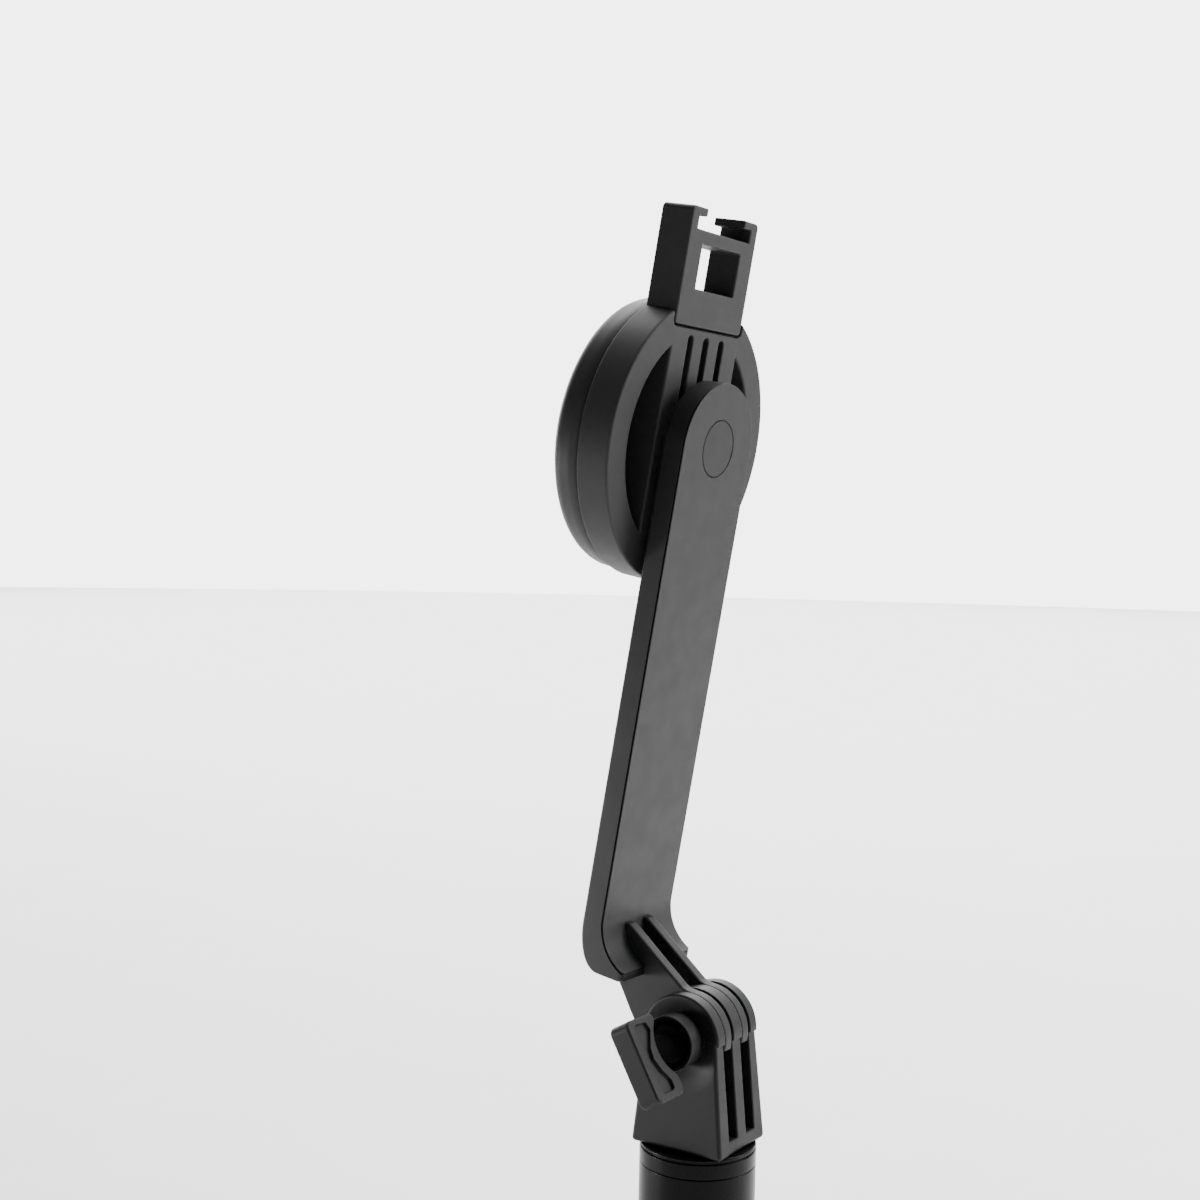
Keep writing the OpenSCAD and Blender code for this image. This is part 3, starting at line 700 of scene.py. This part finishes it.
def part_way(points, share):
    """The place a share of the way along a line of points."""
    points = np.array(points)
    steps = np.hypot(*np.diff(points, axis=0).T)
    run = np.concatenate([[0], np.cumsum(steps)]) / steps.sum()
    return np.array([np.interp(share, run, points[:, 0]), np.interp(share, run, points[:, 1])])


REAR_PATH = [(ARM_REAR, FOOT_Z)] + arc(ARM_REAR + FOOT_R, FOOT_Z, FOOT_R, 180, FOOT_SWEEP, 32)
FRONT_PATH = ([(ARM_FRONT, FOOT_Z)]
              + [(ARM_FRONT + CORNER[0] * (1 - math.cos(t)), FOOT_BOTTOM + CORNER[1] * (1 - math.sin(t)))
                 for t in np.radians(np.linspace(0, 90, 19))]
              + [(FOOT_TIP, FOOT_BOTTOM)])


def arm_stations(inset):
    """Half width and place along the arm, from the head's tip to the foot's end."""
    half = ARM_HALF - inset
    stations = [(half * math.cos(t), RING_Z + half * math.sin(t)) for t in np.radians(np.linspace(90, 0, 41))]
    stations += [(half, float(z)) for z in np.linspace(RING_Z, FOOT_Z, 12)[1:]]
    end = 1 - inset / FOOT_LENGTH
    stations += [(half, ON_FOOT + share) for share in np.linspace(0, end - END_SHARE, 30)[1:]]
    for t in np.radians(np.linspace(15, 90, 6)):
        across, back = END_ROUND * (1 - math.cos(t)), END_SHARE * (1 - math.sin(t))
        stations.append((half - across, ON_FOOT + end - back))
    return stations


def arm_point(x, place, depth):
    """depth is positive from the rear face inwards, and negative from the front face inwards."""
    from_rear = depth >= 0
    if place < ON_FOOT:
        return (x, (ARM_REAR if from_rear else ARM_FRONT) - depth, place)
    rear, front = part_way(REAR_PATH, place - ON_FOOT), part_way(FRONT_PATH, place - ON_FOOT)
    way = (front - rear) / np.hypot(*(front - rear))
    y, z = (rear if from_rear else front) + way * depth
    return (x, y, z)


def plate(name, rings):
    """Closed plate that follows the arm. rings are (inset, depth), from the middle of one face to that of
    the other."""
    rows, faces = [], []
    for inset, depth in rings:
        stations = arm_stations(inset)
        for half, place in stations:
            rows.append(arm_point(half, place, depth))
            rows.append(arm_point(-half, place, depth))
    n = len(stations)
    for k in range(len(rings) - 1):
        a, b = 2 * n * k, 2 * n * (k + 1)
        for i in range(n - 1):
            for side in (0, 1):
                faces.append((a + 2 * i + side, a + 2 * i + 2 + side, b + 2 * i + 2 + side, b + 2 * i + side))
        faces.append((a + 2 * n - 2, a + 2 * n - 1, b + 2 * n - 1, b + 2 * n - 2))
    for a in (0, 2 * n * (len(rings) - 1)):
        for i in range(n - 1):
            faces.append((a + 2 * i, a + 2 * i + 1, a + 2 * i + 3, a + 2 * i + 2))
    mesh = bpy.data.meshes.new(name)
    mesh.from_pydata((on_arm(np.array(rows)) * MM).tolist(), [], faces)
    clean(mesh, 1e-6)
    return mesh


def rounding(inset, depth, r, inward, steps=4):
    """Rings round an edge: from the face to the wall."""
    rings = []
    for t in np.radians(np.linspace(0, 90, steps + 1)):
        rings.append((inset + r * (1 - math.sin(t)), depth + inward * r * (1 - math.cos(t))))
    return rings


FIN_HALF, FIN_SHIFT, LUG_R = 1.3, 0.2, 6.2    # half thickness, shift towards the knob, lug under the step
FIN_OUTLINE = [(-16.6, 16.4), (-19.0, 16.3), (-19.0, 7.6), (-13.3, 0.15), (-9.7, -4.1), (-5.0, -5.6),
               (0.0, 0.0), (-1.2, 7.2)]


def fin_shape(x, y, z):
    """Two fins with stepped lugs between the prongs, clamped against the prongs on the knob's side."""
    blade = outline(y, z, FIN_OUTLINE) - 0.1
    lug = np.minimum(both(disc(y, z, PRONG_R - 0.06), -z - STEP_Z, 0.15), disc(y, z, LUG_R))
    side = either(blade, lug, 1.0)
    fins = both(side, np.abs(np.abs(x - FIN_SHIFT) - FIN_X) - FIN_HALF, 0.45)
    return less(fins, disc(y, z, SCREW_BORE_R), 0.15)


def make_arm():
    """The bar and its cover with a fine seam between them, the fins, and the round cap over the pivot."""
    rings = [(0.7, COVER_T + 0.01), (0.69, 0.46), (0.06, 0.44), (0.0, 0.5)]
    rings += rounding(0.0, -1e-6, 0.7, -1)[::-1]
    bar = plate("arm_body", rings)
    finish_mesh("arm_body", bar, "arm", ARM, ["arm_frame"], 40, flat=RING_AXIS)
    rings = [(0.76, COVER_T), (0.75, 0.14), (0.04, 0.12), (0.0, 0.08), (0.025, 0.02), (0.09, 0.0)]
    cover = bored(plate("arm_cover_plate", rings), CAP_HOLE_R, ARM_REAR - COVER_T - 1, ARM_REAR, 0.12)
    finish_mesh("arm_cover_plate", cover, "arm", COVER, ["arm_cover"], 40, flat=RING_AXIS)
    fins = moulded("arm_fins", fin_shape, (-4.8, -20.4, -PRONG_R), (4.8, PRONG_R, 17.6), 0.2, on_arm)
    finish_mesh("arm_fins", fins, "arm", FIN, ["arm_frame"], weighted=False)
    profile = disc_profile(CAP_R, ARM_REAR - 1.5, ARM_REAR - 0.02, 0.15)
    cap = turned("pivot_cover", profile, on_ring, along="y")
    finish_mesh("pivot_cover", cap, "arm", ARM, ["pivot_cap"])


def bored(mesh, r, y0, y1, chamfer):
    """The mesh with a chamfered round hole through it at the ring's centre."""
    profile = [(0, y0), (r, y0), (r, y1 - chamfer), (r + 2 * chamfer, y1 + chamfer), (0, y1 + chamfer)]
    piece = linked("blank", mesh)
    tool = linked("tool", turned("tool", profile, on_ring, along="y", steps=96))
    cut = piece.modifiers.new("hole", "BOOLEAN")
    cut.operation = "DIFFERENCE"
    cut.solver = "EXACT"
    cut.object = tool
    with bpy.context.temp_override(object=piece, active_object=piece):
        bpy.ops.object.modifier_apply(modifier="hole")
    result = piece.data
    for made in (piece, tool):
        bpy.data.objects.remove(made)
    return result


# ---- Magnetic head ----

RING_FRONT = RING_REAR - 6.9
RING_R, RING_INNER, BAR_HALF = 27.0, 21.0, 12.0
NOTCH_HALF, NOTCH_FOOT = 12.2, 21.47              # notch that the bracket stands in
SEAM_HALF, SEAM_FOOT, SEAM_DEPTH = 12.55, 21.1, 1.2   # wider groove along the notch, in the rear face
GROOVE_PITCH, GROOVE_HALF, GROOVE_FOOT, GROOVE_TOP, GROOVE_DEPTH = 5.6, 0.95, 5.0, 19.95, 4.6
BRACKET_HALF, BRACKET_FOOT, BRACKET_TOP = 12.1, 21.55, 43.0
WINDOW_HALF, WINDOW_FOOT, WINDOW_TOP = 6.9, 28.4, 36.6
SHOE_HALF, SHOE_FOOT, SHOE_TOP, THROAT_HALF = 9.5, 39.1, 41.5, 6.8
PUCK_FACE, PUCK_R, PUCK_EDGE, PUCK_BORE, PUCK_FLOOR, PUCK_BACK_R = -38.2, 26.2, 2.6, 24.4, 1.3, 21.4
PAD_R, PAD_T, PAD_EDGE = 24.3, 1.0, 0.35
PAD_LINE_R, PAD_LINE_DEPTH = 18.15, 0.18          # fine groove round the pad's face


def ring_shape(x, y, z):
    """Open ring with an upright bar, three long grooves, and a notch for the shoe bracket."""
    ring = np.maximum(disc(x, z, RING_R), RING_INNER - np.hypot(x, z))
    bar = both(disc(x, z, RING_INNER + 1), np.abs(x) - BAR_HALF, 0.05)
    notch = upright(x, z, NOTCH_HALF, NOTCH_FOOT, BEYOND, 1.0)
    face = less(np.minimum(ring, bar), notch, 0.1)
    body = both(face, layer(y, RING_FRONT, RING_REAR), 0.45)
    seam = upright(x, z, SEAM_HALF, SEAM_FOOT, BEYOND, 1.3)
    body = less(body, both(seam, RING_REAR - SEAM_DEPTH - y, 0.05), 0.2)
    for i in (-1, 0, 1):
        groove = upright(x - i * GROOVE_PITCH, z, GROOVE_HALF, GROOVE_FOOT, GROOVE_TOP, 0.9)
        body = less(body, both(groove, RING_REAR - GROOVE_DEPTH - y, 0.1), 0.15)
    return body


def bracket_shape(x, y, z):
    """Shoe bracket: a plate with a window, and a T-shaped slot open at its top."""
    face = upright(x, z, BRACKET_HALF, BRACKET_FOOT, BRACKET_TOP, 1.0)
    slot = upright(x, z, SHOE_HALF, SHOE_FOOT, SHOE_TOP, 0.15)
    throat = upright(x, z, THROAT_HALF, SHOE_FOOT, BEYOND, 0.15)
    window = upright(x, z, WINDOW_HALF, WINDOW_FOOT, WINDOW_TOP, 0.25)
    for opening in (slot, throat, window):
        face = less(face, opening, 0.12)
    return both(face, layer(y, RING_FRONT, RING_REAR), 0.35)


def make_head():
    """Everything that turns with the ring."""
    make_ring()
    make_bracket()
    make_puck()
    make_pad()


def make_ring():
    mesh = moulded("ring_body", ring_shape, (-RING_R, RING_FRONT, -RING_R), (RING_R, RING_REAR, RING_R), 0.25,
                   on_ring)
    finish_mesh("ring_body", mesh, "head", RING, ["ring_housing"], weighted=False)


def make_bracket():
    lo, hi = (-BRACKET_HALF, RING_FRONT, BRACKET_FOOT - 0.05), (BRACKET_HALF, RING_REAR, BRACKET_TOP)
    mesh = moulded("shoe_plate", bracket_shape, lo, hi, 0.2, on_ring)
    finish_mesh("shoe_plate", mesh, "head", RING, ["shoe_bracket"], weighted=False)


def make_puck():
    """Cup that holds the pad, with a soft rounded rim. Its back, seen through the ring, is painted near-black
    as shade.
    """
    rear, front, middle_r = RING_FRONT, PUCK_FACE + 0.3, PUCK_R - PUCK_EDGE
    profile = ([(0, rear), (PUCK_BACK_R, rear)] + arc(middle_r, rear - PUCK_EDGE, PUCK_EDGE, 90, 0, 14)
               + arc(middle_r, front + PUCK_EDGE, PUCK_EDGE, 0, -90, 14)
               + [(PUCK_BORE + 0.1, front), (PUCK_BORE, front + 0.1), (PUCK_BORE, rear - PUCK_FLOOR),
                  (0, rear - PUCK_FLOOR)])
    mesh = turned("puck_body", profile, on_ring, along="y", steps=192)
    puck = finish_mesh("puck_body", mesh, "head", PUCK, ["puck_shell"])
    puck.data.materials.append(PUCK_PAINTED_SHADE)
    # Faces of the flat back inside PUCK_BACK_R take the painted shade.
    axis, middle = Vector(RING_AXIS), Vector(on_ring([[0, rear, 0]])[0] * MM)
    for face in puck.data.polygons:
        out = face.center - middle
        if abs(out @ axis) < 1e-5 and out.length < PUCK_BACK_R * MM:
            face.material_index = 1


def make_pad():
    """Soft disc that the phone sits on, with a fine groove near its edge."""
    wide, narrow, bottom = 0.45, 0.25, PUCK_FACE + PAD_LINE_DEPTH
    profile = ([(0, PUCK_FACE + PAD_T), (PAD_R, PUCK_FACE + PAD_T)]
               + arc(PAD_R - PAD_EDGE, PUCK_FACE + PAD_EDGE, PAD_EDGE, 0, -90, 5)
               + [(PAD_LINE_R + wide, PUCK_FACE), (PAD_LINE_R + narrow, bottom),
                  (PAD_LINE_R - narrow, bottom), (PAD_LINE_R - wide, PUCK_FACE), (0, PUCK_FACE)])
    pad = turned("phone_pad", profile, on_ring, along="y", steps=192)
    finish_mesh("phone_pad", pad, "head", PAD, ["contact_pad"])


# ---- Studio ----

FLOOR_HALF, FLOOR_GAP = 7.0, 0.0005   # metres, and how far the floor lies under the stick
BACKDROP_R, BACKDROP_LEVEL = 6.9, 5.0     # just inside the floor's edges
BEHIND = Vector((-0.83, -0.555, 0.0))     # from the camera's side to the far side of the stick
SIDE_LEVEL, FAR_LEVEL = 0.16, 6.8     # surround's brightness beside the camera and behind the stick
TURN_FROM, TURN_TO = 0.45, 0.9        # it changes between these two shares of the way behind
HORIZON_SHARE, HORIZON_TOP = 0.54, 0.25   # share of it that is left at the horizon, and where it is full
ARM_MIDDLE = Vector((0, 0, 0.08))     # metres above the hinge
KEY_AT, KEY_SIZE, KEY_WATTS = (-0.55, 0.75, 0.35), (0.45, 0.6), 9.4   # place from the arm's middle
SIDE_AT, SIDE_SIZE, SIDE_WATTS, SIDE_SPREAD = (0.27, -0.4, -0.06), (0.12, 0.12), 0.07, 28   # from the hinge
SWEEP_OUT, SWEEP_UP, SWEEP_SIZE, SWEEP_WATTS, SWEEP_SPREAD = 4.4, 2.2, (7, 7), 520, 95
LENS, SENSOR = 51.49, 36              # millimetres
CAMERA_AT = (280.45, 162.54, 96.2)    # from the hinge, in millimetres
CAMERA_BACK = (0.830292, 0.555488, 0.045252)
CAMERA_RIGHT = (-0.556715, 0.830449, 0.020584)


def add_light(name, place, size, power, target, spread=180):
    """Rectangular lamp at place that faces target. A small spread keeps its light off the rest."""
    data = bpy.data.lights.new(name, "AREA")
    data.spread = math.radians(spread)
    data.shape = "RECTANGLE"
    data.size, data.size_y = size
    data.energy = power
    lamp = linked(name, data)
    lamp.location = place
    lamp.rotation_euler = (Vector(target) - Vector(place)).to_track_quat("-Z", "Y").to_euler()


def make_studio():
    """Pale floor that the stick stands on, the backdrop, the surround and three soft lamps."""
    mesh = bpy.data.meshes.new("floor")
    corners = [(a * FLOOR_HALF, b * FLOOR_HALF, 0) for a, b in ((-1, -1), (1, -1), (1, 1), (-1, 1))]
    mesh.from_pydata(corners, [], [(0, 1, 2, 3)])
    floor = linked("floor", mesh)
    floor.location.z = -FLOOR_GAP
    look = Look("floor_pale", Roughness=0.9, Specular_IOR_Level=0.1)
    look.shade(look.noise(80, 3), grey(0.91), grey(0.93))
    mesh.materials.append(look.material)
    make_backdrop()
    make_surround()
    hinge = Vector(HINGE * MM)
    middle = hinge + ARM_MIDDLE
    add_light("key", middle + Vector(KEY_AT), KEY_SIZE, KEY_WATTS, middle)
    add_light("side", hinge + Vector(SIDE_AT), SIDE_SIZE, SIDE_WATTS, hinge, SIDE_SPREAD)
    foot = BEHIND * SWEEP_OUT
    add_light("sweep", foot + Vector((0, 0, SWEEP_UP)), SWEEP_SIZE, SWEEP_WATTS, foot, SWEEP_SPREAD)


def make_backdrop():
    """Pale dome behind the stick on every side. Only the camera sees it: it casts no light and no shadow."""
    work = bmesh.new()
    bmesh.ops.create_uvsphere(work, u_segments=96, v_segments=48, radius=BACKDROP_R)
    mesh = bpy.data.meshes.new("backdrop")
    work.to_mesh(mesh)
    work.free()
    material = bpy.data.materials.new("backdrop_pale")
    material.use_nodes = True
    tree = material.node_tree
    glow = tree.nodes.new("ShaderNodeEmission")
    glow.inputs["Color"].default_value = (1, 1, 1, 1)
    glow.inputs["Strength"].default_value = BACKDROP_LEVEL
    tree.links.new(glow.outputs["Emission"], tree.nodes["Material Output"].inputs["Surface"])
    mesh.materials.append(material)
    dome = linked("backdrop", mesh)
    dome.visible_diffuse = False
    dome.visible_glossy = False
    dome.visible_transmission = False
    dome.visible_volume_scatter = False
    dome.visible_shadow = False


def make_surround():
    """White surround that is brightest behind the stick, dimmer beside the camera and at the horizon."""
    world = bpy.data.worlds.new("surround")
    world.use_nodes = True
    tree = world.node_tree
    way = tree.nodes.new("ShaderNodeTexCoord").outputs["Generated"]

    def ramp(direction, values):
        """Level that changes with how far a ray points in one direction."""
        share = tree.nodes.new("ShaderNodeVectorMath")
        share.operation = "DOT_PRODUCT"
        share.inputs[1].default_value = direction
        tree.links.new(way, share.inputs[0])
        level = tree.nodes.new("ShaderNodeMapRange")
        level.interpolation_type = "SMOOTHSTEP"
        tree.links.new(share.outputs["Value"], level.inputs["Value"])
        for socket, value in zip(("From Min", "From Max", "To Min", "To Max"), values):
            level.inputs[socket].default_value = value
        return level.outputs["Result"]

    strength = tree.nodes.new("ShaderNodeMath")
    strength.operation = "MULTIPLY"
    tree.links.new(ramp(BEHIND, (TURN_FROM, TURN_TO, SIDE_LEVEL, FAR_LEVEL)), strength.inputs[0])
    tree.links.new(ramp((0, 0, 1), (0.0, HORIZON_TOP, HORIZON_SHARE, 1.0)), strength.inputs[1])
    tree.nodes["Background"].inputs["Color"].default_value = (1, 1, 1, 1)
    tree.links.new(strength.outputs["Value"], tree.nodes["Background"].inputs["Strength"])
    bpy.context.scene.world = world


def make_camera():
    """Camera behind the phone's place, turned to the knob's side and a little above the hinge."""
    data = bpy.data.cameras.new("camera")
    data.sensor_width = SENSOR
    data.lens = LENS
    data.clip_start, data.clip_end = 0.01, 100
    camera = linked("camera", data)
    camera.location = (HINGE + CAMERA_AT) * MM
    back, right = Vector(CAMERA_BACK).normalized(), Vector(CAMERA_RIGHT)
    right = (right - right.dot(back) * back).normalized()
    up = back.cross(right)
    camera.rotation_mode = "QUATERNION"
    camera.rotation_quaternion = Matrix((right, up, back)).transposed().to_quaternion()
    bpy.context.scene.camera = camera


make_camera()
make_studio()
dress_carried()
make_pole()
make_grip()
make_end_cap()
make_thread()
make_top_cap()
make_hinge()
make_knob()
make_arm()
make_head()
